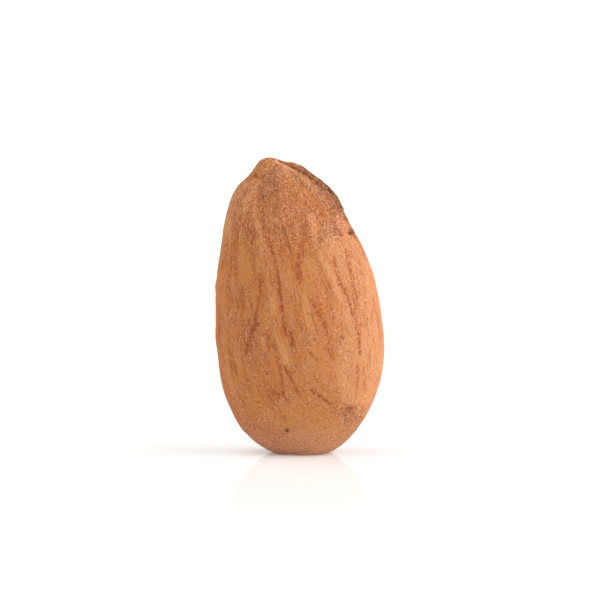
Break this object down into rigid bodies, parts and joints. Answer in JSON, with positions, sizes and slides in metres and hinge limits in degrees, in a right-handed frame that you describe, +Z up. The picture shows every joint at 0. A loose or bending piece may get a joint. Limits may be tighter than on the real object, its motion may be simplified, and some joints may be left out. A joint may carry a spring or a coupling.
{
  "type": "almond kernel",
  "caption": "Whole shelled almond in its brown skin, a flattened teardrop with a pointed tip, standing on a small flat at its blunt end.",
  "frame": {"origin": "on the small flat at the blunt end, under the middle of the kernel's bounds", "axes": "+Z up along the kernel to its tip, +X across the broad faces towards the edge with the scar, +Y through the thickness to the back face; the face seen in the picture looks along -Y"},
  "size_m": [0.0138, 0.008, 0.024],
  "materials": {
    "almond_skin": "dry matt brown seed coat with fine scurf and darker veins"
  },
  "bodies": {
    "root": {"almond_kernel": "almond_skin"}
  },
  "joints": []
}
